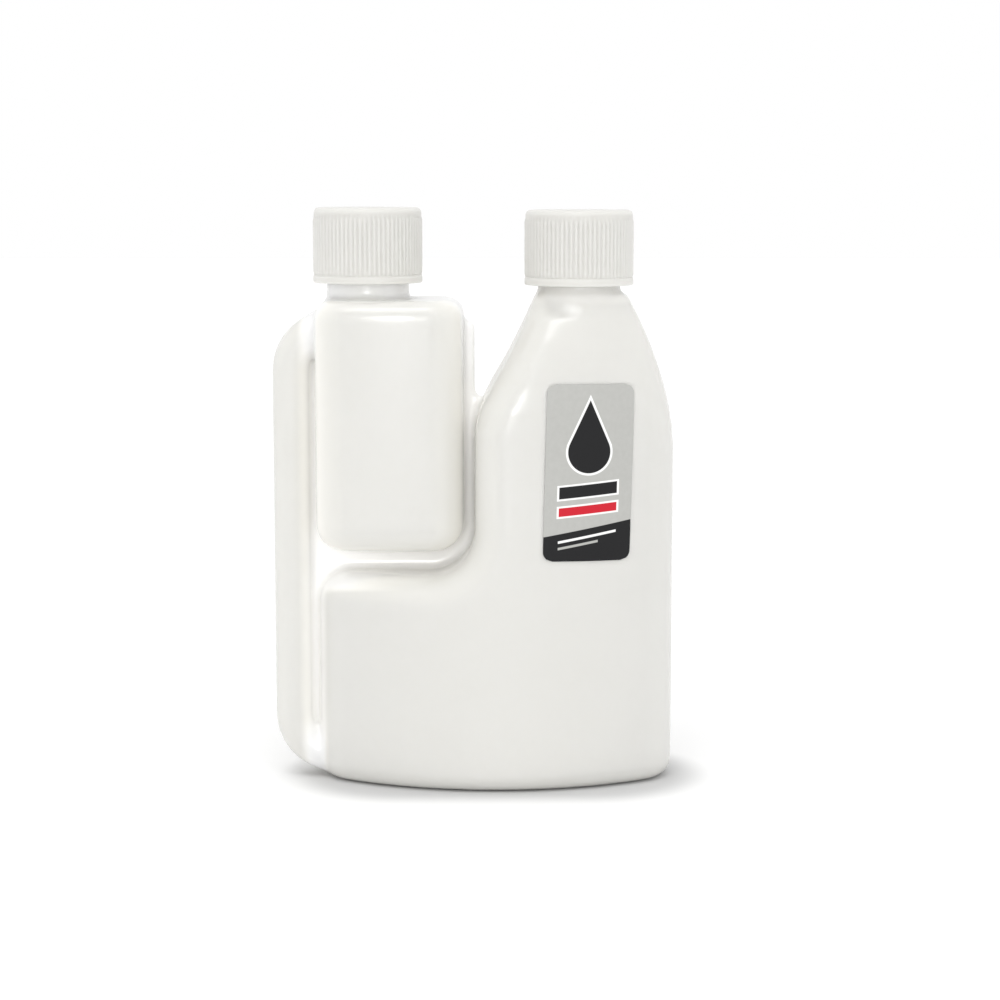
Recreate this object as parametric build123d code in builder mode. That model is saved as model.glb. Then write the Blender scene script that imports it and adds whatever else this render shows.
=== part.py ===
"""Twin-neck dosing bottle with two ribbed screw caps, their liners and a plain label.

Millimetres, +Z up, front at -Y.
"""

import math
import os

from build123d import *

# Driving sizes of the whole bottle
overall_width = 100.0
overall_depth = 44.0
wall = 1.1
neck_spacing = 52.4

# Driving sizes of the transfer tube and the pinched web
tube_width = 9.0
tube_depth = 13.0
tube_corner = 4.2
tube_gap = 2.0
tube_bend = 10.5
tube_top_drop = 17.8
tube_top_turn = 59.0
tube_bottom_bend_z = 16.2
tube_bottom_turn = 70.0
tube_end_run = 4.0
web_thickness = 1.8
web_gap = 3.0
web_flange = 2.9
web_flange_drop = 6.3

# Driving sizes of the reservoir: an oval block with a column on its right
block_height = 53.0
column_width = 49.5
inner_corner = 11.5
edge_round = 8.0
end_share = 0.6
base_round = 4.5
push_up = 1.4
push_up_margin = 9.0
push_up_angle = 45.0
seam_rise = 1.0
shoulder_top_z = 122.0
shoulder_half_x = 11.9
shoulder_half_y = 10.9
shoulder_flat_share = 0.9
right_slope_drop = 38.0
right_slope_power = 1.75
left_slope_drop = 26.5
left_slope_power = 0.74
left_slope_blend = 6.0
front_slope_drop = 30.0
front_slope_power = 1.9
centre_power = 1.3
shoulder_steps = 7
bevel_share = 0.8

# Driving sizes of the dosing chamber
chamber_depth = 35.0
chamber_crown = 1.6
chamber_corner = 9.0
chamber_lift = 5.8
chamber_top_z = 120.8
chamber_top_round = 4.2
chamber_bottom_round = 6.5

# Driving sizes of the necks
neck_radius = 10.2
neck_bore_radius = 8.7
dosing_neck_height = 19.9
filler_neck_height = 18.1
neck_foot = 3.2
rim_bevel = 0.5

# Driving sizes of the caps and liners
cap_radius = 13.55
cap_height = 18.5
cap_top = 1.6
cap_clearance = 1.8
cap_lip = 1.9
cap_top_band = 2.2
cap_top_bevel = 1.3
rib_count = 72
rib_depth = 0.32
liner_thickness = 1.0
liner_play = 0.25

# Driving sizes of the label
label_width = 21.4
label_height = 43.2
label_corner = 2.3
label_thickness = 0.18
label_centre_x = 28.2
label_centre_z = 79.2
label_lean_angle = 1.4

# Sizes that follow
right_x = overall_width / 2
left_x = -overall_width / 2
block_left_x = left_x + tube_width + tube_gap
oval_half_x = (right_x - block_left_x) / 2
oval_half_y = overall_depth / 2
oval_centre_x = (right_x + block_left_x) / 2
column_left_x = right_x - column_width
chamber_left_x = block_left_x
chamber_right_x = column_left_x - web_gap
chamber_bottom_z = block_height + chamber_lift
column_seam_z = block_height + inner_corner + wall + seam_rise
right_slope_z = shoulder_top_z - right_slope_drop
left_slope_z = shoulder_top_z - left_slope_drop
front_slope_z = shoulder_top_z - front_slope_drop
tube_top_bend_z = chamber_top_z - tube_top_drop
web_flange_top_z = chamber_top_z - web_flange_drop
dosing_rim_z = chamber_top_z + dosing_neck_height
filler_rim_z = shoulder_top_z + filler_neck_height
dosing_x = -neck_spacing / 2
filler_x = neck_spacing / 2
shoulder_left_x = filler_x - shoulder_flat_share * shoulder_half_x
shoulder_right_x = filler_x + shoulder_half_x


def eased(z, start, power):
    """How far a slope has gone at height z, from 0 where it starts to 1 at the shoulder's top."""
    part_way = (z - start) / (shoulder_top_z - start)
    return max(part_way, 0.0) ** power


def ramped(z, start, blend):
    """Like eased, for a straight slope whose foot is rounded over the height of blend each way."""
    past = z - start
    if abs(past) < blend:
        past = (past + blend) ** 2 / (4 * blend)
    return max(past, 0.0) / (shoulder_top_z - start)


def bevel(edges, radius):
    """A flat in place of a rounding, for the hollows, short enough to keep the wall near its thickness."""
    chamfer(edges, length=bevel_share * radius)


def oval(centre_x, half_x, half_y):
    """Radii and joining point of an oval of four arcs, after its centre and half sizes."""
    end_radius = end_share * half_y
    reach = half_x - end_radius
    side_radius = (reach**2 + half_y**2 - end_radius**2) / (2 * (half_y - end_radius))
    lean = math.atan2(reach, side_radius - half_y)
    join_x = reach + end_radius * math.sin(lean)
    join_y = end_radius * math.cos(lean)
    return side_radius, join_x, join_y


def column_section(z, inset, ease):
    """The column's outline at height z: an oval cut off flat on the left, with eased corners.

    The slopes are read one inset higher up, so that the wall keeps its thickness there too.
    """
    level = z + inset
    risen = ramped(level, left_slope_z, left_slope_blend)
    moved = risen**left_slope_power
    turned = risen**centre_power
    drawn_in = eased(level, right_slope_z, right_slope_power)
    thinned = eased(level, front_slope_z, front_slope_power)
    cut_x = column_left_x + (shoulder_left_x - column_left_x) * moved + inset
    centre_x = oval_centre_x + (filler_x - oval_centre_x) * turned
    tip_x = right_x + (shoulder_right_x - right_x) * drawn_in - inset
    half_y = oval_half_y + (shoulder_half_y - oval_half_y) * thinned - inset
    side_radius, join_x, join_y = oval(centre_x, tip_x - centre_x, half_y)
    cut_y = half_y - side_radius + math.sqrt(side_radius**2 - (cut_x - centre_x) ** 2)
    with BuildSketch(Plane.XY.offset(z)) as outline:
        with BuildLine():
            Line((cut_x, cut_y), (cut_x, -cut_y))
            RadiusArc((cut_x, -cut_y), (centre_x + join_x, -join_y), -side_radius)
            ThreePointArc((centre_x + join_x, -join_y), (tip_x, 0), (centre_x + join_x, join_y))
            RadiusArc((centre_x + join_x, join_y), (cut_x, cut_y), -side_radius)
        make_face()
        ease(outline.vertices().group_by(Axis.X)[0], min(edge_round - inset, cut_y))
    return outline.sketch


def oval_face(half_x, half_y):
    """The block's whole oval, after its half sizes."""
    side_radius, join_x, join_y = oval(oval_centre_x, half_x, half_y)
    near_x = oval_centre_x - join_x
    far_x = oval_centre_x + join_x
    with BuildSketch() as outline:
        with BuildLine():
            RadiusArc((near_x, -join_y), (far_x, -join_y), -side_radius)
            ThreePointArc((far_x, -join_y), (oval_centre_x + half_x, 0), (far_x, join_y))
            RadiusArc((far_x, join_y), (near_x, join_y), -side_radius)
            ThreePointArc((near_x, join_y), (oval_centre_x - half_x, 0), (near_x, -join_y))
        make_face()
    return outline.sketch


def reservoir(inset, ease):
    """The oval block and its column, drawn in by inset all round, with its edges eased by fillet or bevel."""
    top_z = block_height - inset
    wall_x = column_left_x + inset
    corner = inner_corner + inset
    past_left_x = left_x - overall_width
    past_seam_z = column_seam_z + block_height
    with BuildPart() as block:
        with BuildSketch(Plane.XY.offset(inset)):
            add(oval_face(oval_half_x - inset, oval_half_y - inset))
        extrude(amount=column_seam_z - inset)
        ease(block.edges().group_by(Axis.Z)[0], base_round - inset)
        with BuildSketch(Plane.XY.offset(inset)):
            add(oval_face(oval_half_x - push_up_margin + inset, oval_half_y - push_up_margin + inset))
        extrude(amount=push_up, taper=push_up_angle, mode=Mode.SUBTRACT)
        with BuildSketch(Plane.XZ):
            with BuildLine():
                Line((wall_x, past_seam_z), (wall_x, top_z + corner))
                RadiusArc((wall_x, top_z + corner), (wall_x - corner, top_z), corner)
                Polyline(
                    (wall_x - corner, top_z),
                    (past_left_x, top_z),
                    (past_left_x, past_seam_z),
                    (wall_x, past_seam_z),
                )
            make_face()
        extrude(amount=overall_depth, both=True, mode=Mode.SUBTRACT)
        rims = block.edges(Select.LAST).filter_by(
            lambda edge: block_height / 2 < edge.bounding_box().min.Z < column_seam_z - 0.01
        )
        rims -= rims.filter_by(Axis.Y)
        ease(rims, edge_round - inset)
    rise = right_slope_drop / shoulder_steps
    heights = [column_seam_z] + [right_slope_z + rise * i for i in range(shoulder_steps)]
    heights.append(shoulder_top_z - inset)
    with BuildPart() as column:
        for z in heights:
            add(column_section(z, inset, ease))
        loft(ruled=True)
    with BuildPart() as whole:
        add(block.part)
        add(column.part)
    return whole.part


def chamber(inset, ease):
    """The dosing chamber, a crowned box with eased edges, drawn in by inset all round."""
    near_x = chamber_left_x + inset
    far_x = chamber_right_x - inset
    middle_x = (near_x + far_x) / 2
    half_y = chamber_depth / 2 - inset
    side_y = half_y - chamber_crown
    low_z = chamber_bottom_z + inset
    high_z = chamber_top_z - inset
    with BuildPart() as box:
        with BuildSketch(Plane.XY.offset(low_z)) as outline:
            with BuildLine():
                ThreePointArc((near_x, -side_y), (middle_x, -half_y), (far_x, -side_y))
                Line((far_x, -side_y), (far_x, side_y))
                ThreePointArc((far_x, side_y), (middle_x, half_y), (near_x, side_y))
                Line((near_x, side_y), (near_x, -side_y))
            make_face()
            ease(outline.vertices(), chamber_corner - inset)
        extrude(amount=high_z - low_z)
        ease(box.edges().group_by(Axis.Z)[-1], chamber_top_round - inset)
        ease(box.edges().group_by(Axis.Z)[0], chamber_bottom_round - inset)
    return box.part


def tube(inset, ease):
    """The transfer tube, from the chamber's upper left side down into the foot of the block."""
    bend_x = left_x + tube_width / 2 + tube_bend
    top = math.radians(tube_top_turn)
    low = math.radians(tube_bottom_turn)
    top_way = (math.sin(top), math.cos(top))
    low_way = (math.sin(low), -math.cos(low))
    top_join = (bend_x - tube_bend * math.cos(top), tube_top_bend_z + tube_bend * math.sin(top))
    low_join = (bend_x - tube_bend * math.cos(low), tube_bottom_bend_z - tube_bend * math.sin(low))
    top_end = (top_join[0] + tube_end_run * top_way[0], top_join[1] + tube_end_run * top_way[1])
    low_end = (low_join[0] + tube_end_run * low_way[0], low_join[1] + tube_end_run * low_way[1])
    start = (top_end[0], 0, top_end[1])
    section = Plane(origin=start, x_dir=(0, 1, 0), z_dir=(-top_way[0], 0, -top_way[1]))
    with BuildPart() as pipe:
        with BuildLine(Plane.XZ) as way:
            Line(top_end, top_join)
            CenterArc((bend_x, tube_top_bend_z), tube_bend, 180 - tube_top_turn, tube_top_turn)
            Line((bend_x - tube_bend, tube_top_bend_z), (bend_x - tube_bend, tube_bottom_bend_z))
            CenterArc((bend_x, tube_bottom_bend_z), tube_bend, 180, tube_bottom_turn)
            Line(low_join, low_end)
        with BuildSketch(section) as outline:
            Rectangle(tube_depth - 2 * inset, tube_width - 2 * inset)
            ease(outline.vertices(), tube_corner - inset)
        sweep(path=way.wires()[0])
    return pipe.part


def neck(centre_x, foot_z, rim_z):
    """A plain neck with a rounded rim and its bore still filled."""
    with BuildPart() as pipe:
        with BuildSketch(Plane.XY.offset(foot_z)):
            with Locations((centre_x, 0)):
                Circle(neck_radius)
        extrude(amount=rim_z - foot_z)
        chamfer(pipe.edges().group_by(Axis.Z)[-1], length=rim_bevel)
    return pipe.part


def bore(centre_x, foot_z, rim_z):
    """What is taken out of a neck."""
    with BuildPart() as core:
        with BuildSketch(Plane.XY.offset(foot_z)):
            with Locations((centre_x, 0)):
                Circle(neck_bore_radius)
        extrude(amount=rim_z - foot_z)
    return core.part


# Bottle body: one moulding with all its hollows
dosing_foot_z = chamber_top_z - neck_foot
filler_foot_z = shoulder_top_z - neck_foot
tube_middle_x = left_x + tube_width / 2
block_middle_x = block_left_x + chamber_bottom_round
column_inner_x = column_left_x + edge_round
flange_x = chamber_right_x + web_flange
bend_share = math.sin(math.radians(45))
outer_reservoir = reservoir(0, fillet)
with BuildPart() as bottle_body:
    add(outer_reservoir)
    add(chamber(0, fillet))
    add(tube(0, fillet))
    with BuildSketch(Plane.XZ):
        with BuildLine():
            Polyline(
                (tube_middle_x, tube_bottom_bend_z),
                (tube_middle_x, tube_top_bend_z),
                (tube_middle_x + tube_bend * (1 - bend_share), tube_top_bend_z + tube_bend * bend_share),
                (block_middle_x, tube_top_bend_z + tube_bend),
                (chamber_right_x - chamber_corner, web_flange_top_z + web_flange / 2),
                (chamber_right_x, web_flange_top_z + web_flange / 2),
                (flange_x, web_flange_top_z),
                (flange_x, left_slope_z + left_slope_blend / 3),
                (column_inner_x, left_slope_z - left_slope_blend),
                (column_inner_x, block_height - edge_round),
                (block_middle_x, block_height - edge_round),
                (block_middle_x, tube_bottom_bend_z - tube_bend),
                (tube_middle_x + tube_bend * (1 - bend_share), tube_bottom_bend_z - tube_bend * bend_share),
                close=True,
            )
        make_face()
    extrude(amount=web_thickness / 2, both=True)
    add(neck(dosing_x, dosing_foot_z, dosing_rim_z))
    add(neck(filler_x, filler_foot_z, filler_rim_z))
    add(reservoir(wall, bevel), mode=Mode.SUBTRACT)
    add(chamber(wall, bevel), mode=Mode.SUBTRACT)
    add(tube(wall, bevel), mode=Mode.SUBTRACT)
    add(bore(dosing_x, dosing_foot_z, dosing_rim_z), mode=Mode.SUBTRACT)
    add(bore(filler_x, filler_foot_z, filler_rim_z), mode=Mode.SUBTRACT)
bottle_body.part.label = "bottle_body"


def rib_points(centre_x):
    """Corners of the ribbed outline, one ridge and one groove to each rib."""
    corners = []
    for i in range(2 * rib_count):
        angle = math.pi * i / rib_count
        radius = cap_radius - rib_depth * (i % 2)
        corners.append((centre_x + radius * math.cos(angle), radius * math.sin(angle)))
    return corners


def screw_cap(centre_x, rim_z):
    """A cap that sits with its liner on the rim: smooth lip, ribbed skirt, smooth band and eased top edge."""
    top_z = rim_z + liner_thickness + cap_top
    low_z = top_z - cap_height
    groove_radius = cap_radius - rib_depth
    inner_radius = neck_radius + cap_clearance
    with BuildPart() as cap:
        with BuildSketch(Plane.XY.offset(low_z)):
            with Locations((centre_x, 0)):
                Circle(cap_radius)
        extrude(amount=cap_lip)
        with BuildSketch(Plane.XY.offset(low_z + cap_lip)):
            with BuildLine():
                Polyline(*rib_points(centre_x), close=True)
            make_face()
        extrude(amount=cap_height - cap_lip - cap_top_band)
        with BuildSketch(Plane.XY.offset(top_z - cap_top_band)):
            with Locations((centre_x, 0)):
                Circle(groove_radius)
        extrude(amount=cap_top_band)
        chamfer(cap.edges().group_by(Axis.Z)[-1], length=cap_top_bevel, length2=cap_top_bevel / 2)
        with BuildSketch(Plane.XY.offset(low_z)):
            with Locations((centre_x, 0)):
                Circle(inner_radius)
        extrude(amount=cap_height - cap_top, mode=Mode.SUBTRACT)
    return cap.part


def liner(centre_x, rim_z):
    """The sealing disc between a rim and the cap's top."""
    with BuildPart() as disc:
        with BuildSketch(Plane.XY.offset(rim_z)):
            with Locations((centre_x, 0)):
                Circle(neck_radius + cap_clearance - liner_play)
        extrude(amount=liner_thickness)
    return disc.part


# Caps and liners
with BuildPart() as dosing_cap:
    add(screw_cap(dosing_x, dosing_rim_z))
dosing_cap.part.label = "dosing_cap"

with BuildPart() as filler_cap:
    add(screw_cap(filler_x, filler_rim_z))
filler_cap.part.label = "filler_cap"

with BuildPart() as dosing_cap_liner:
    add(liner(dosing_x, dosing_rim_z))
dosing_cap_liner.part.label = "dosing_cap_liner"

with BuildPart() as filler_cap_liner:
    add(liner(filler_x, filler_rim_z))
filler_cap_liner.part.label = "filler_cap_liner"

# Label: a thin sheet that follows the column's front
with BuildPart() as label:
    with BuildSketch(Plane.XZ.offset(oval_half_y / 4)):
        with Locations(Location((label_centre_x, label_centre_z, 0), (0, 0, -label_lean_angle))):
            RectangleRounded(label_width, label_height, label_corner)
    extrude(amount=overall_depth)
    add(reservoir(-label_thickness, fillet), mode=Mode.INTERSECT)
    add(outer_reservoir, mode=Mode.SUBTRACT)
label.part.label = "label"

os.makedirs("parts", exist_ok=True)
export_step(bottle_body.part, "parts/bottle_body.step")
export_step(dosing_cap.part, "parts/dosing_cap.step")
export_step(filler_cap.part, "parts/filler_cap.step")
export_step(dosing_cap_liner.part, "parts/dosing_cap_liner.step")
export_step(filler_cap_liner.part, "parts/filler_cap_liner.step")
export_step(label.part, "parts/label.step")
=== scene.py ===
"""Looks of the twin-neck dosing bottle: moulded body, ribbed caps, threads, liners and a plain label."""

import math

import bmesh
import bpy
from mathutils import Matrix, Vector
from mathutils.bvhtree import BVHTree


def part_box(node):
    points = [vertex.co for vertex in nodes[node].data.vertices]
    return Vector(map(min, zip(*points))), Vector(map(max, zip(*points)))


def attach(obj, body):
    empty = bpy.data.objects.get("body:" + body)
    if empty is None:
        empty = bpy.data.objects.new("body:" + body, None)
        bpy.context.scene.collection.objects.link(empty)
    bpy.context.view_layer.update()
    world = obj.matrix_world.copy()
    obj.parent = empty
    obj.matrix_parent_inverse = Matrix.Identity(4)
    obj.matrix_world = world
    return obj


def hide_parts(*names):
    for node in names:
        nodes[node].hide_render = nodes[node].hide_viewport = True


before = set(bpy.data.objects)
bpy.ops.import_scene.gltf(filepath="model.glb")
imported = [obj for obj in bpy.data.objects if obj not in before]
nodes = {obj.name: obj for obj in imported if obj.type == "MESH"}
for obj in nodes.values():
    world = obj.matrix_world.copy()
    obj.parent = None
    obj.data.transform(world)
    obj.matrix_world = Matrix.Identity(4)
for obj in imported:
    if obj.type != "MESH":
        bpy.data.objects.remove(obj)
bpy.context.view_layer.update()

MM = 0.001

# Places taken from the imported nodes
dosing_low, dosing_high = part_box("dosing_cap")
filler_low, filler_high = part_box("filler_cap")
DOSING_X = (dosing_low.x + dosing_high.x) / 2
FILLER_X = (filler_low.x + filler_high.x) / 2
DOSING_RIM_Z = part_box("dosing_cap_liner")[0].z
FILLER_RIM_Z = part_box("filler_cap_liner")[0].z

# Sizes of the body's skin
WELD = 0.004 * MM
RIM_SEARCH = 3.0 * MM
RIM_LEVEL = 0.99
VOXEL = 0.75 * MM
SKIN_SMOOTHING = 6
SKIN_EASE = 0.5
BORE_RUN_OUT = 3.0 * MM
SHARP_ANGLE = math.radians(42)

# Tones and gloss of the milky plastic, and how finely they vary
BODY_LIGHT = (0.715, 0.708, 0.675)
BODY_DEEP = (0.685, 0.678, 0.645)
# Paler tone painted on the web and necks, as painted light let through the plastic
BODY_PAINTED_GLOW = (0.985, 0.967, 0.915)
BODY_ROUGHNESS = 0.245
BODY_SHEEN = 0.85
CAP_LIGHT = (0.665, 0.658, 0.63)
CAP_DEEP = (0.63, 0.623, 0.595)
CAP_ROUGHNESS = 0.46
CAP_SHEEN = 0.5
PLASTIC_IOR = 1.52
SCATTER_REACH = 2.5 * MM
CLOUD_SCALE = 45.0
FLECK_SCALE = 420.0
GRAIN_SCALE = 2600.0
FLECK_SHARE = 0.35
GRAIN_SHARE = 0.3
ROUGHNESS_SPREAD = 0.04
PLASTIC_RELIEF = 0.12
RELIEF_DEPTH = 0.05 * MM
NOISE_ROUGHNESS = 0.5

# Where a paler tone is painted on the body's plastic: painted light on the recessed web and on the necks
# under the caps
RECESS_FRONT_Y = 17.0 * MM
RECESS_DEEP_Y = 8.0 * MM
RECESS_LOW_Z = 47.0 * MM
BLOCK_LEFT_X = -36.0 * MM
RECESS_EDGE = 3.0 * MM
WEB_LEFT_X = -41.0 * MM
WEB_RIGHT_X = 2.0 * MM
NECK_FOOT_Z = 119.0 * MM
NECK_SHARE = 0.6

# Foam of the liners
FOAM_LIGHT = (0.93, 0.93, 0.92)
FOAM_DEEP = (0.86, 0.86, 0.84)
FOAM_SCALE = 2200.0
FOAM_ROUGHNESS = 0.8
FOAM_RELIEF = 0.3

# Sizes of the caps
CAP_RADIUS = 13.55 * MM
CAP_HEIGHT = 18.5 * MM
CAP_INNER_RADIUS = 12.0 * MM
CAP_TOP = 1.6 * MM
CAP_LIP = 1.9 * MM
CAP_BAND = 2.2 * MM
CAP_EDGE = 1.3 * MM
CAP_EDGE_STEPS = 6
CAP_FLAT_MARGIN = 1.6
CAP_INNER_RINGS = (0.35, 0.7)
LIP_TIP = 0.1 * MM
LIP_TOP_EASE = 0.15 * MM
LIP_TOP_ROUND = 0.4 * MM
LIP_LOW_ROUND = 0.35 * MM
MOUTH_BEVEL = 0.3 * MM
RIB_COUNT = 72
RIB_DEPTH = 0.24 * MM
RIB_FADE = 0.7 * MM
RIB_SAMPLES = 8
RIB_ROWS = 18

# Sizes of the screw threads
LEAD = 3.175 * MM
THREAD_TURNS = 1.5
THREAD_STEPS = 84
THREAD_FOOT = 1.15 * MM
THREAD_CREST = 0.5 * MM
THREAD_FADE = 0.12
NECK_RADIUS = 10.2 * MM
NECK_CREST_RADIUS = 11.45 * MM
CAP_CREST_RADIUS = 10.85 * MM
THREAD_SINK = 0.2 * MM
THREAD_TOP_DROP = 1.6 * MM

# Sizes of the label
LABEL_WIDTH = 21.4 * MM
LABEL_HEIGHT = 43.2 * MM
LABEL_CORNER = 2.3 * MM
LABEL_LEAN = math.radians(1.4)
LABEL_X = 28.2 * MM
LABEL_Z = 79.2 * MM
LABEL_RISE = 0.14 * MM
LABEL_SINK = 0.1 * MM
LABEL_COLUMNS = 36
LABEL_ROWS = 84
LABEL_SEARCH_Y = -100 * MM

# Label film and its inks
FILM_GREY = (0.42, 0.42, 0.40)
FILM_GREY_LIGHT = (0.47, 0.47, 0.45)
INK_BLACK = (0.012, 0.012, 0.013)
INK_WHITE = (0.86, 0.86, 0.85)
INK_RED = (0.56, 0.015, 0.03)
FILM_SCALE = 900.0
FILM_ROUGHNESS = 0.3
FILM_ROUGHNESS_SPREAD = 0.14
FILM_SHEEN = 0.2
FILM_RELIEF = 0.05
FILM_RELIEF_DEPTH = 0.03 * MM

# Label print, in millimetres from the label's middle
INK_EDGE = 0.08
DROP_V = 5.2
DROP_RADIUS = 5.2
DROP_REACH = 12.6
DROP_OUTLINE = 0.55
BAR_HALF_U = 7.1
BAR_OUTLINE_U = 0.5
BAR_OUTLINE_V = 0.45
BAR_SLANT = 0.1
BLACK_BAR_V = -4.2
BLACK_BAR_HALF_V = 1.45
RED_BAR_V = -8.9
RED_BAR_HALF_V = 1.05
FIELD_V = -22.5
FIELD_HALF_U = 30.0
FIELD_HALF_V = 8.9
FIELD_SLANT = 0.19
LINE_HALF_V = 0.3
WHITE_LINE_V = -15.6
GREY_LINE_V = -17.6
GREY_LINE_SHORTER = 2.2

# Camera, floor and light
CAMERA_X = 6.6 * MM
CAMERA_DISTANCE = 600 * MM
CAMERA_HEIGHT = 150 * MM
CAMERA_NEAR = 50 * MM
LOOK_Z = 70.2 * MM
FRAME_WIDTH = 251.5 * MM
SENSOR = 36.0
SKY_GLOW = 1.0
FLOOR_REACH = 4.0
FLOOR_DEEP = (0.905, 0.905, 0.905)
FLOOR_LIGHT = (0.915, 0.915, 0.915)
FLOOR_SCALE = 3.0
FLOOR_ROUGHNESS = 0.9
FOOT_X = 5.5 * MM
FOOT_HALF_X = 44.5 * MM
FOOT_HALF_Y = 21.0 * MM
# Painted contact shadow: the floor's tone deepens within this reach of the foot
CONTACT_FADE = 12.0 * MM
PAINTED_CONTACT_SHADOW = (0.6, 0.6, 0.6)


def smooth_step(value):
    """Eases a value from 0 to 1."""
    value = min(max(value, 0.0), 1.0)
    return value * value * (3 - 2 * value)


def new_object(name, mesh, material, body):
    """A piece of the look that rides on a body and takes the given material."""
    piece = bpy.data.objects.new(name, mesh)
    bpy.context.scene.collection.objects.link(piece)
    mesh.materials.clear()
    mesh.materials.append(material)
    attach(piece, body)
    return piece


def shade(mesh):
    """Smooth shading with hard edges at sharp angles."""
    mesh.shade_smooth()
    mesh.set_sharp_from_angle(angle=SHARP_ANGLE)


# Materials
def node_of(tree, kind, **values):
    """A shader node with some of its properties set."""
    node = tree.nodes.new(kind)
    for key, value in values.items():
        setattr(node, key, value)
    return node


def calc(tree, operation, first, second=0.0, third=0.0):
    """A math node on links or numbers; gives its output."""
    node = node_of(tree, "ShaderNodeMath", operation=operation)
    for socket, value in zip(node.inputs, (first, second, third)):
        if isinstance(value, (int, float)):
            socket.default_value = value
        else:
            tree.links.new(value, socket)
    return node.outputs[0]


def blend_colour(tree, factor, first, second):
    """Mixes two colours, each a link or a tuple, by a linked factor."""
    node = node_of(tree, "ShaderNodeMix", data_type="RGBA")
    tree.links.new(factor, node.inputs["Factor"])
    for socket, value in zip((node.inputs[6], node.inputs[7]), (first, second)):
        if isinstance(value, tuple):
            socket.default_value = (*value, 1.0)
        else:
            tree.links.new(value, socket)
    return node.outputs[2]


def noise(tree, place, scale, detail):
    """A noise texture in the object's own place."""
    node = node_of(tree, "ShaderNodeTexNoise")
    node.inputs["Scale"].default_value = scale
    node.inputs["Detail"].default_value = detail
    node.inputs["Roughness"].default_value = NOISE_ROUGHNESS
    tree.links.new(place, node.inputs["Vector"])
    return node.outputs["Fac"]


def start_material(name):
    """A new node material, its shader and the object's own place."""
    material = bpy.data.materials.new(name)
    material.use_nodes = True
    tree = material.node_tree
    shader = tree.nodes["Principled BSDF"]
    place = node_of(tree, "ShaderNodeTexCoord").outputs["Object"]
    return material, tree, shader, place


def axes_of(tree, place):
    """The X, Y and Z of a place, each as a link."""
    split = node_of(tree, "ShaderNodeSeparateXYZ")
    tree.links.new(place, split.inputs[0])
    return split.outputs["X"], split.outputs["Y"], split.outputs["Z"]


def add_bump(tree, shader, height, strength, distance):
    """Fine relief from a height link."""
    node = node_of(tree, "ShaderNodeBump")
    node.inputs["Strength"].default_value = strength
    node.inputs["Distance"].default_value = distance
    tree.links.new(height, node.inputs["Height"])
    tree.links.new(node.outputs["Normal"], shader.inputs["Normal"])


def ramp(tree, value, start, end):
    """Runs smoothly from 0 where a linked value is at start to 1 where it is at end."""
    node = node_of(tree, "ShaderNodeMapRange", interpolation_type="SMOOTHSTEP")
    node.inputs["From Min"].default_value = start
    node.inputs["From Max"].default_value = end
    tree.links.new(value, node.inputs["Value"])
    return node.outputs["Result"]


def painted_glow_share(tree, place):
    """Share of the painted light by place: a paler tone, full on the recessed web between the hollows
    and less on the necks, that stands for light let through the thin plastic and lifts their shade.
    """
    x, y, z = axes_of(tree, place)
    low = ramp(tree, z, RECESS_LOW_Z + RECESS_EDGE, RECESS_LOW_Z)
    low = calc(tree, "MULTIPLY", low, ramp(tree, x, BLOCK_LEFT_X - RECESS_EDGE, BLOCK_LEFT_X))
    away = calc(tree, "ABSOLUTE", y)
    away = calc(tree, "MULTIPLY_ADD", low, RECESS_FRONT_Y - RECESS_DEEP_Y, away)
    web = ramp(tree, away, RECESS_FRONT_Y, RECESS_DEEP_Y)
    web = calc(tree, "MULTIPLY", web, ramp(tree, x, WEB_RIGHT_X + RECESS_EDGE, WEB_RIGHT_X))
    web = calc(tree, "MULTIPLY", web, ramp(tree, x, WEB_LEFT_X - RECESS_EDGE, WEB_LEFT_X))
    neck = ramp(tree, z, NECK_FOOT_Z, NECK_FOOT_Z + RECESS_EDGE)
    return calc(tree, "MAXIMUM", web, calc(tree, "MULTIPLY", neck, NECK_SHARE))


def milky_plastic(name, light, deep, roughness, sheen, painted_glow=None):
    """Natural moulded plastic: cloudy, a little uneven in tone and gloss, with light scattered in it;
    given a paler tone, it also paints light onto the web and necks by place.
    """
    material, tree, shader, place = start_material(name)
    cloud = noise(tree, place, CLOUD_SCALE, detail=3.0)
    fleck = noise(tree, place, FLECK_SCALE, detail=2.0)
    grain = noise(tree, place, GRAIN_SCALE, detail=2.0)
    tone = calc(tree, "MULTIPLY", cloud, 1 - FLECK_SHARE)
    tone = calc(tree, "MULTIPLY_ADD", fleck, FLECK_SHARE, tone)
    colour = blend_colour(tree, tone, deep, light)
    # Painted light: a paler tone on the web and necks, by place
    if painted_glow:
        colour = blend_colour(tree, painted_glow_share(tree, place), colour, painted_glow)
    tree.links.new(colour, shader.inputs["Base Color"])
    least = roughness - ROUGHNESS_SPREAD / 2
    spread = calc(tree, "MULTIPLY_ADD", cloud, ROUGHNESS_SPREAD, least)
    tree.links.new(spread, shader.inputs["Roughness"])
    shader.inputs["Specular IOR Level"].default_value = sheen
    shader.inputs["Subsurface Weight"].default_value = 1.0
    shader.inputs["Subsurface Radius"].default_value = (1.0, 1.0, 1.0)
    shader.inputs["Subsurface Scale"].default_value = SCATTER_REACH
    shader.inputs["IOR"].default_value = PLASTIC_IOR
    relief = calc(tree, "MULTIPLY_ADD", grain, GRAIN_SHARE, fleck)
    add_bump(tree, shader, relief, PLASTIC_RELIEF, RELIEF_DEPTH)
    return material


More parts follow.
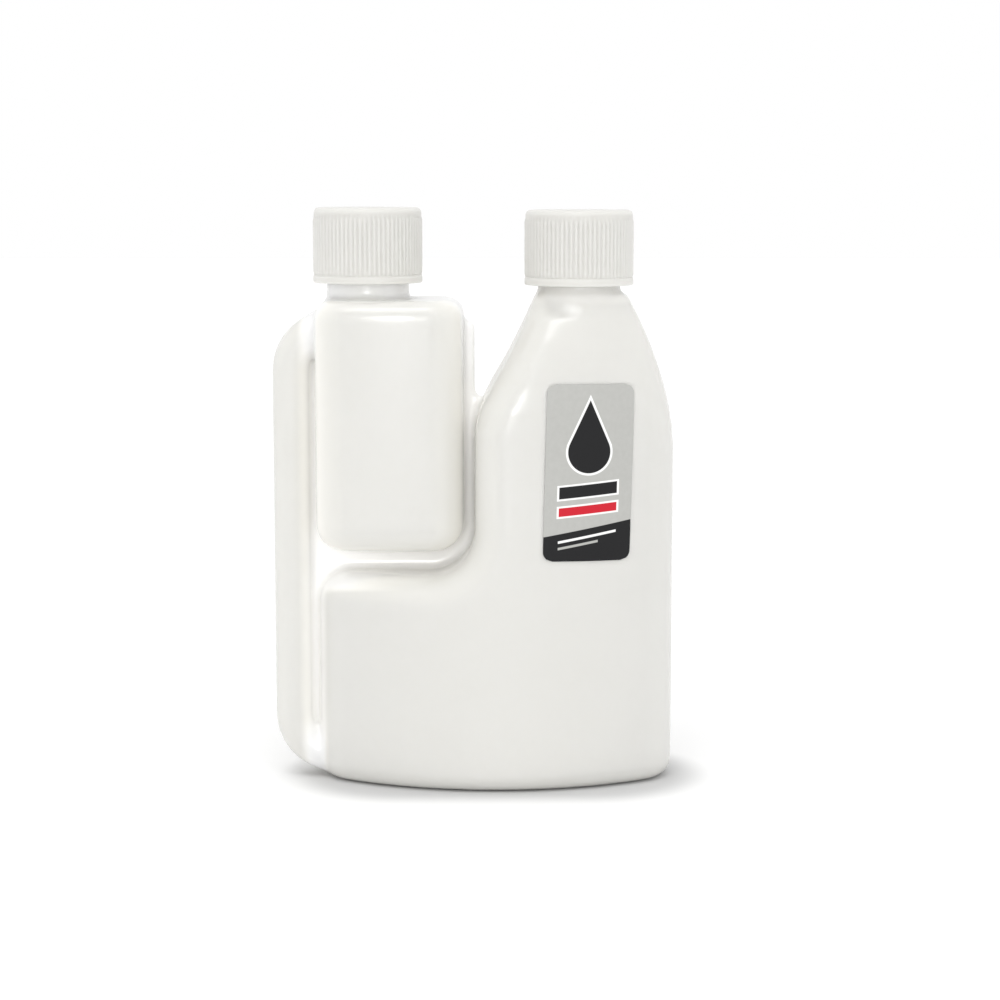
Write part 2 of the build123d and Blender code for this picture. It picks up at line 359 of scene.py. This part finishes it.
def foam():
    """Closed-cell foam of the liners."""
    material, tree, shader, place = start_material("liner_foam")
    cells = node_of(tree, "ShaderNodeTexVoronoi", feature="SMOOTH_F1")
    cells.inputs["Scale"].default_value = FOAM_SCALE
    tree.links.new(place, cells.inputs["Vector"])
    cell = cells.outputs["Distance"]
    colour = blend_colour(tree, cell, FOAM_LIGHT, FOAM_DEEP)
    tree.links.new(colour, shader.inputs["Base Color"])
    shader.inputs["Roughness"].default_value = FOAM_ROUGHNESS
    add_bump(tree, shader, cell, FOAM_RELIEF, RELIEF_DEPTH)
    return material


# Label print: fields of colour and plain shapes
def inside(tree, distance):
    """1 inside a shape and 0 outside it, with a fine soft edge, from its distance in millimetres."""
    share = calc(tree, "MULTIPLY_ADD", distance, -1.0 / INK_EDGE, 0.5)
    return calc(tree, "MINIMUM", calc(tree, "MAXIMUM", share, 0.0), 1.0)


def bar(tree, u, v, centre_u, centre_v, half_u, half_v, slant):
    """Distance to a bar that leans by slant and has upright ends."""
    along = calc(tree, "ADD", u, -centre_u)
    across = calc(tree, "ADD", calc(tree, "MULTIPLY_ADD", along, -slant, v), -centre_v)
    out_u = calc(tree, "ADD", calc(tree, "ABSOLUTE", along), -half_u)
    out_v = calc(tree, "ADD", calc(tree, "ABSOLUTE", across), -half_v)
    return calc(tree, "MAXIMUM", out_u, out_v)


def drop(tree, u, v):
    """Distance to a plain drop: a circle with a straight-sided tip that reaches up."""
    up = calc(tree, "ADD", v, -DROP_V)
    squares = calc(tree, "MULTIPLY_ADD", u, u, calc(tree, "MULTIPLY", up, up))
    circle = calc(tree, "ADD", calc(tree, "SQRT", squares), -DROP_RADIUS)
    lean = math.asin(DROP_RADIUS / DROP_REACH)
    side = calc(tree, "MULTIPLY_ADD", up, math.sin(lean), -DROP_REACH * math.sin(lean))
    side = calc(tree, "MULTIPLY_ADD", calc(tree, "ABSOLUTE", u), math.cos(lean), side)
    foot = calc(tree, "SUBTRACT", DROP_RADIUS * math.sin(lean), up)
    return calc(tree, "MINIMUM", circle, calc(tree, "MAXIMUM", side, foot))


def outlined_bar(tree, u, v, centre_v, half_v, ink):
    """Layers of a leaning bar in an ink, on a white one that shows round it."""
    wide_u = BAR_HALF_U + BAR_OUTLINE_U
    wide_v = half_v + BAR_OUTLINE_V
    return [
        (bar(tree, u, v, 0.0, centre_v, wide_u, wide_v, BAR_SLANT), INK_WHITE),
        (bar(tree, u, v, 0.0, centre_v, BAR_HALF_U, half_v, BAR_SLANT), ink),
    ]


def label_print():
    """Satin film with a pale grey field, a dark slanted foot, a drop and a few bars."""
    material, tree, shader, place = start_material("label_film")
    x, _, z = axes_of(tree, place)
    across = calc(tree, "MULTIPLY_ADD", x, 1 / MM, -LABEL_X / MM)
    up = calc(tree, "MULTIPLY_ADD", z, 1 / MM, -LABEL_Z / MM)
    turned = calc(tree, "MULTIPLY", up, -math.sin(LABEL_LEAN))
    u = calc(tree, "MULTIPLY_ADD", across, math.cos(LABEL_LEAN), turned)
    turned = calc(tree, "MULTIPLY", across, math.sin(LABEL_LEAN))
    v = calc(tree, "MULTIPLY_ADD", up, math.cos(LABEL_LEAN), turned)
    scratch = noise(tree, place, FILM_SCALE, detail=3.0)
    colour = blend_colour(tree, scratch, FILM_GREY, FILM_GREY_LIGHT)
    large = drop(tree, u, v)
    short_u = BAR_HALF_U - GREY_LINE_SHORTER
    field = bar(tree, u, v, 0.0, FIELD_V, FIELD_HALF_U, FIELD_HALF_V, FIELD_SLANT)
    white_line = bar(tree, u, v, 0.0, WHITE_LINE_V, BAR_HALF_U, LINE_HALF_V, FIELD_SLANT)
    grey_line = bar(tree, u, v, -GREY_LINE_SHORTER, GREY_LINE_V, short_u, LINE_HALF_V, FIELD_SLANT)
    layers = [(calc(tree, "ADD", large, -DROP_OUTLINE), INK_WHITE), (large, INK_BLACK)]
    layers += outlined_bar(tree, u, v, BLACK_BAR_V, BLACK_BAR_HALF_V, INK_BLACK)
    layers += outlined_bar(tree, u, v, RED_BAR_V, RED_BAR_HALF_V, INK_RED)
    layers += [(field, INK_BLACK), (white_line, INK_WHITE), (grey_line, FILM_GREY)]
    for distance, ink in layers:
        colour = blend_colour(tree, inside(tree, distance), colour, ink)
    tree.links.new(colour, shader.inputs["Base Color"])
    spread = calc(tree, "MULTIPLY_ADD", scratch, FILM_ROUGHNESS_SPREAD, FILM_ROUGHNESS)
    tree.links.new(spread, shader.inputs["Roughness"])
    shader.inputs["Specular IOR Level"].default_value = FILM_SHEEN
    add_bump(tree, shader, scratch, FILM_RELIEF, FILM_RELIEF_DEPTH)
    return material


body_plastic = milky_plastic(
    "milky_body_plastic", BODY_LIGHT, BODY_DEEP, BODY_ROUGHNESS, BODY_SHEEN, BODY_PAINTED_GLOW
)
cap_plastic = milky_plastic("milky_cap_plastic", CAP_LIGHT, CAP_DEEP, CAP_ROUGHNESS, CAP_SHEEN)
label_film = label_print()
liner_foam = foam()


# Body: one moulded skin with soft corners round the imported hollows
def parted_body():
    """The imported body's outside and inside, parted at the two rims, where alone they join."""
    work = bmesh.new()
    work.from_mesh(nodes["bottle_body"].data)
    bmesh.ops.remove_doubles(work, verts=work.verts, dist=WELD)
    rim_floor = min(DOSING_RIM_Z, FILLER_RIM_Z) - RIM_SEARCH
    level = [face for face in work.faces if face.normal.z > RIM_LEVEL]
    rims = [face for face in level if face.calc_center_median().z > rim_floor]
    bmesh.ops.delete(work, geom=rims, context="FACES")
    halves = []
    left = set(work.faces)
    while left:
        first = left.pop()
        found = {first}
        ahead = [first]
        while ahead:
            for edge in ahead.pop().edges:
                for face in edge.link_faces:
                    if face in left:
                        left.discard(face)
                        found.add(face)
                        ahead.append(face)
        halves.append(found)
    # The outside comes first, because it reaches further left than the inside
    halves.sort(key=lambda faces: min(vert.co.x for face in faces for vert in face.verts))
    work.faces.index_update()
    marks = [{face.index for face in faces} for faces in halves]
    parts = []
    for kept in marks[:2]:
        copy = work.copy()
        copy.faces.ensure_lookup_table()
        others = [face for face in copy.faces if face.index not in kept]
        bmesh.ops.delete(copy, geom=others, context="FACES")
        parts.append(copy)
    work.free()
    return parts


def close_rims(half, lift):
    """Closes the rims of a half; a lift first runs its bores out above them."""
    edges = [edge for edge in half.edges if edge.is_boundary]
    if lift:
        grown = bmesh.ops.extrude_edge_only(half, edges=edges)["geom"]
        verts = [item for item in grown if isinstance(item, bmesh.types.BMVert)]
        bmesh.ops.translate(half, verts=verts, vec=(0, 0, lift))
        edges = [edge for edge in half.edges if edge.is_boundary]
    bmesh.ops.holes_fill(half, edges=edges, sides=0)
    bmesh.ops.recalc_face_normals(half, faces=half.faces)


def mesh_of(half, name):
    """A mesh object that only serves as a tool."""
    mesh = bpy.data.meshes.new(name)
    half.to_mesh(mesh)
    half.free()
    tool = bpy.data.objects.new(name, mesh)
    bpy.context.scene.collection.objects.link(tool)
    return tool


def shaped(tool, name):
    """The mesh that a tool's modifiers give."""
    bpy.context.view_layer.update()
    graph = bpy.context.evaluated_depsgraph_get()
    mesh = bpy.data.meshes.new_from_object(tool.evaluated_get(graph))
    mesh.name = name
    return mesh


outside, inside_half = parted_body()
close_rims(outside, 0.0)
close_rims(inside_half, BORE_RUN_OUT)
skin_tool = mesh_of(outside, "skin_tool")
hollow_tool = mesh_of(inside_half, "hollow_tool")
remesh = skin_tool.modifiers.new("even_mesh", "REMESH")
remesh.mode = "VOXEL"
remesh.voxel_size = VOXEL
relax = skin_tool.modifiers.new("soft_corners", "SMOOTH")
relax.factor = SKIN_EASE
relax.iterations = SKIN_SMOOTHING
skin_mesh = shaped(skin_tool, "skin")
skin_points = [vert.co for vert in skin_mesh.vertices]
skin_tree = BVHTree.FromPolygons(skin_points, [face.vertices for face in skin_mesh.polygons])
cut = skin_tool.modifiers.new("hollow", "BOOLEAN")
cut.operation = "DIFFERENCE"
cut.solver = "MANIFOLD"
cut.object = hollow_tool
body_mesh = shaped(skin_tool, "moulded_body")
bpy.data.objects.remove(skin_tool)
bpy.data.objects.remove(hollow_tool)
shade(body_mesh)
body = new_object("moulded_body", body_mesh, body_plastic, "bottle")
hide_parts("bottle_body")


# Caps: a ribbed skirt between a smooth lip and a round top edge
def cap_profile():
    """Radius, height and share of the ribs, row by row from the cap's top round to its ceiling."""
    high = CAP_HEIGHT
    groove = CAP_RADIUS - RIB_DEPTH
    ceiling = high - CAP_TOP
    low = CAP_LIP
    top = high - CAP_BAND
    rows = [(share * groove, high, 0) for share in CAP_INNER_RINGS]
    rows.append((groove - CAP_FLAT_MARGIN * CAP_EDGE, high, 0))
    for i in range(CAP_EDGE_STEPS + 1):
        angle = math.pi / 2 * i / CAP_EDGE_STEPS
        radius = groove - CAP_EDGE + CAP_EDGE * math.sin(angle)
        rows.append((radius, high - CAP_EDGE + CAP_EDGE * math.cos(angle), 0))
    for i in range(RIB_ROWS + 1):
        z = top - (top - low) * i / RIB_ROWS
        rows.append((groove, z, smooth_step(min(z - low, top - z) / RIB_FADE)))
    rows.append((CAP_RADIUS - LIP_TIP, low - LIP_TOP_EASE, 0))
    rows.append((CAP_RADIUS, low - LIP_TOP_ROUND, 0))
    rows.append((CAP_RADIUS, LIP_LOW_ROUND, 0))
    rows.append((CAP_RADIUS - LIP_TIP, LIP_TIP, 0))
    rows.append((CAP_RADIUS - LIP_LOW_ROUND, 0, 0))
    rows.append((CAP_INNER_RADIUS + MOUTH_BEVEL, 0, 0))
    rows.append((CAP_INNER_RADIUS, MOUTH_BEVEL, 0))
    rows.append((CAP_INNER_RADIUS, ceiling / 2, 0))
    rows.append((CAP_INNER_RADIUS, ceiling, 0))
    rows.append((CAP_INNER_RADIUS / 2, ceiling, 0))
    return rows


def cap_mesh(name, centre_x, low_z):
    """A cap turned from its outline, with rounded ribs."""
    columns = RIB_COUNT * RIB_SAMPLES
    rows = cap_profile()
    points = [(centre_x, 0, low_z + CAP_HEIGHT)]
    for radius, z, share in rows:
        for i in range(columns):
            angle = 2 * math.pi * i / columns
            ridge = 0.5 + 0.5 * math.cos(RIB_COUNT * angle)
            reach = radius + RIB_DEPTH * share * ridge
            points.append((centre_x + reach * math.cos(angle), reach * math.sin(angle), low_z + z))
    points.append((centre_x, 0, low_z + CAP_HEIGHT - CAP_TOP))
    faces = []
    for i in range(columns):
        after = (i + 1) % columns
        faces.append((0, 1 + i, 1 + after))
        for row in range(len(rows) - 1):
            near = 1 + row * columns
            far = near + columns
            faces.append((near + i, far + i, far + after, near + after))
        last = 1 + (len(rows) - 1) * columns
        faces.append((last + i, len(points) - 1, last + after))
    mesh = bpy.data.meshes.new(name)
    mesh.from_pydata(points, [], faces)
    mesh.update()
    shade(mesh)
    return mesh


for cap_name, centre_x in (("dosing_cap", DOSING_X), ("filler_cap", FILLER_X)):
    ribbed_name = cap_name + "_ribbed"
    ribbed = cap_mesh(ribbed_name, centre_x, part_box(cap_name)[0].z)
    piece = new_object(ribbed_name, ribbed, cap_plastic, cap_name)
    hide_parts(cap_name)


# Screw threads on the necks and in the caps
def thread_mesh(name, centre_x, start_z, root, crest):
    """A right-hand screw ridge from its root to its crest radius that fades out at both ends."""
    steps = int(THREAD_STEPS * THREAD_TURNS)
    foot = root + math.copysign(THREAD_SINK, root - crest)
    points = []
    for i in range(steps + 1):
        share = i / steps
        angle = 2 * math.pi * THREAD_TURNS * share
        height = smooth_step(min(share, 1 - share) / THREAD_FADE)
        middle = start_z + LEAD * THREAD_TURNS * share
        far = root + (crest - root) * height
        for radius, z in (
            (foot, middle - THREAD_FOOT),
            (far, middle - THREAD_CREST),
            (far, middle + THREAD_CREST),
            (foot, middle + THREAD_FOOT),
        ):
            points.append((centre_x + radius * math.cos(angle), radius * math.sin(angle), z))
    last = 4 * steps
    faces = [(0, 1, 2, 3), (last + 3, last + 2, last + 1, last)]
    for i in range(steps):
        for side in range(4):
            near = 4 * i + side
            after = 4 * i + (side + 1) % 4
            faces.append((near, near + 4, after + 4, after))
    work = bmesh.new()
    verts = [work.verts.new(point) for point in points]
    for face in faces:
        work.faces.new([verts[index] for index in face])
    bmesh.ops.recalc_face_normals(work, faces=work.faces)
    mesh = bpy.data.meshes.new(name)
    work.to_mesh(mesh)
    work.free()
    shade(mesh)
    return mesh


for side, centre_x, rim_z in (("dosing", DOSING_X, DOSING_RIM_Z), ("filler", FILLER_X, FILLER_RIM_Z)):
    neck_z = rim_z - THREAD_TOP_DROP - LEAD * THREAD_TURNS
    cap_z = neck_z - LEAD / 2
    ridge = thread_mesh(side + "_neck_thread", centre_x, neck_z, NECK_RADIUS, NECK_CREST_RADIUS)
    new_object(side + "_neck_thread", ridge, body_plastic, "bottle")
    ridge = thread_mesh(side + "_cap_thread", centre_x, cap_z, CAP_INNER_RADIUS, CAP_CREST_RADIUS)
    new_object(side + "_cap_thread", ridge, cap_plastic, side + "_cap")

for name in ("dosing_cap_liner", "filler_cap_liner"):
    nodes[name].data.materials.clear()
    nodes[name].data.materials.append(liner_foam)


# Label: a thin sheet laid on the skin
def label_mesh():
    """A rounded sheet whose face and edge follow the body's skin."""
    half_wide = LABEL_WIDTH / 2
    half_high = LABEL_HEIGHT / 2
    work = bmesh.new()
    grid = []
    for row in range(LABEL_ROWS + 1):
        v = half_high * (2 * row / LABEL_ROWS - 1)
        past = max(abs(v) - (half_high - LABEL_CORNER), 0.0)
        reach = half_wide - LABEL_CORNER + math.sqrt(max(LABEL_CORNER**2 - past**2, 0.0))
        line = []
        for column in range(LABEL_COLUMNS + 1):
            u = reach * (2 * column / LABEL_COLUMNS - 1)
            x = LABEL_X + u * math.cos(LABEL_LEAN) + v * math.sin(LABEL_LEAN)
            z = LABEL_Z - u * math.sin(LABEL_LEAN) + v * math.cos(LABEL_LEAN)
            start = Vector((x, LABEL_SEARCH_Y, z))
            spot, normal, _, _ = skin_tree.ray_cast(start, Vector((0, 1, 0)))
            face_vert = work.verts.new(spot + normal * LABEL_RISE)
            back_vert = work.verts.new(spot - normal * LABEL_SINK)
            line.append((face_vert, back_vert))
        grid.append(line)
    for row in range(LABEL_ROWS):
        low_line = grid[row]
        high_line = grid[row + 1]
        for i in range(LABEL_COLUMNS):
            corners = (low_line[i], low_line[i + 1], high_line[i + 1], high_line[i])
            work.faces.new([corner[0] for corner in corners])
            work.faces.new([corner[1] for corner in reversed(corners)])
    rim = [grid[0][i] for i in range(LABEL_COLUMNS + 1)]
    rim += [grid[i][LABEL_COLUMNS] for i in range(1, LABEL_ROWS + 1)]
    rim += [grid[LABEL_ROWS][i] for i in range(LABEL_COLUMNS - 1, -1, -1)]
    rim += [grid[i][0] for i in range(LABEL_ROWS - 1, 0, -1)]
    for i in range(len(rim)):
        near = rim[i]
        after = rim[(i + 1) % len(rim)]
        work.faces.new((near[0], near[1], after[1], after[0]))
    bmesh.ops.recalc_face_normals(work, faces=work.faces)
    mesh = bpy.data.meshes.new("label_sheet")
    work.to_mesh(mesh)
    work.free()
    shade(mesh)
    return mesh


label = new_object("label_sheet", label_mesh(), label_film, "bottle")
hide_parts("label")


# Stage: pale floor, soft light and the photograph's camera
def floor_material():
    """Plain pale floor, with a painted contact shadow: deeper in tone close round the foot of the
    bottle.
    """
    material, tree, shader, place = start_material("pale_floor")
    tone = noise(tree, place, FLOOR_SCALE, detail=2.0)
    colour = blend_colour(tree, tone, FLOOR_DEEP, FLOOR_LIGHT)
    x, y, _ = axes_of(tree, place)
    # Painted contact shadow: the tone deepens close round the foot
    along = calc(tree, "ABSOLUTE", calc(tree, "ADD", x, -FOOT_X))
    past = calc(tree, "MAXIMUM", calc(tree, "ADD", along, FOOT_HALF_Y - FOOT_HALF_X), 0.0)
    squares = calc(tree, "MULTIPLY", y, y)
    squares = calc(tree, "MULTIPLY_ADD", past, past, squares)
    near = ramp(tree, calc(tree, "SQRT", squares), FOOT_HALF_Y + CONTACT_FADE, FOOT_HALF_Y)
    colour = blend_colour(tree, near, colour, PAINTED_CONTACT_SHADOW)
    tree.links.new(colour, shader.inputs["Base Color"])
    shader.inputs["Roughness"].default_value = FLOOR_ROUGHNESS
    return material


def floor_mesh():
    """A wide level floor under the bottle."""
    corners = [(-FLOOR_REACH, -FLOOR_REACH, 0), (FLOOR_REACH, -FLOOR_REACH, 0)]
    corners += [(FLOOR_REACH, FLOOR_REACH, 0), (-FLOOR_REACH, FLOOR_REACH, 0)]
    mesh = bpy.data.meshes.new("floor")
    mesh.from_pydata(corners, [], [(0, 1, 2, 3)])
    mesh.materials.append(floor_material())
    return mesh


floor = bpy.data.objects.new("floor", floor_mesh())
bpy.context.scene.collection.objects.link(floor)


def aim(thing, target):
    """Turns a light or camera to face a point."""
    way = Vector(target) - thing.location
    thing.rotation_euler = way.to_track_quat("-Z", "Y").to_euler()


def soft_sun(name, azimuth, elevation, spread, power):
    """An even soft light from a side, azimuth 0 being the front and positive ones to the right."""
    data = bpy.data.lights.new(name, "SUN")
    data.angle = math.radians(spread)
    data.energy = power
    light = bpy.data.objects.new(name, data)
    turn = math.radians(azimuth)
    rise = math.radians(elevation)
    level = math.cos(rise)
    light.location = (math.sin(turn) * level, -math.cos(turn) * level, math.sin(rise))
    bpy.context.scene.collection.objects.link(light)
    aim(light, (0, 0, 0))


soft_sun("front", azimuth=0, elevation=8, spread=12, power=0.48)
soft_sun("top", azimuth=-6, elevation=64, spread=32, power=0.6)

world = bpy.data.worlds.new("studio")
world.use_nodes = True
background = world.node_tree.nodes["Background"]
background.inputs["Color"].default_value = (1.0, 1.0, 1.0, 1.0)
background.inputs["Strength"].default_value = SKY_GLOW
bpy.context.scene.world = world
bpy.context.scene.view_settings.view_transform = "Standard"

camera_data = bpy.data.cameras.new("camera")
camera_data.sensor_width = SENSOR
camera = bpy.data.objects.new("camera", camera_data)
camera.location = (CAMERA_X, -CAMERA_DISTANCE, CAMERA_HEIGHT)
target = Vector((CAMERA_X, 0, LOOK_Z))
aim(camera, target)
camera_data.lens = SENSOR * (target - camera.location).length / FRAME_WIDTH
camera_data.clip_start = CAMERA_NEAR
bpy.context.scene.collection.objects.link(camera)
bpy.context.scene.camera = camera

bpy.context.view_layer.update()
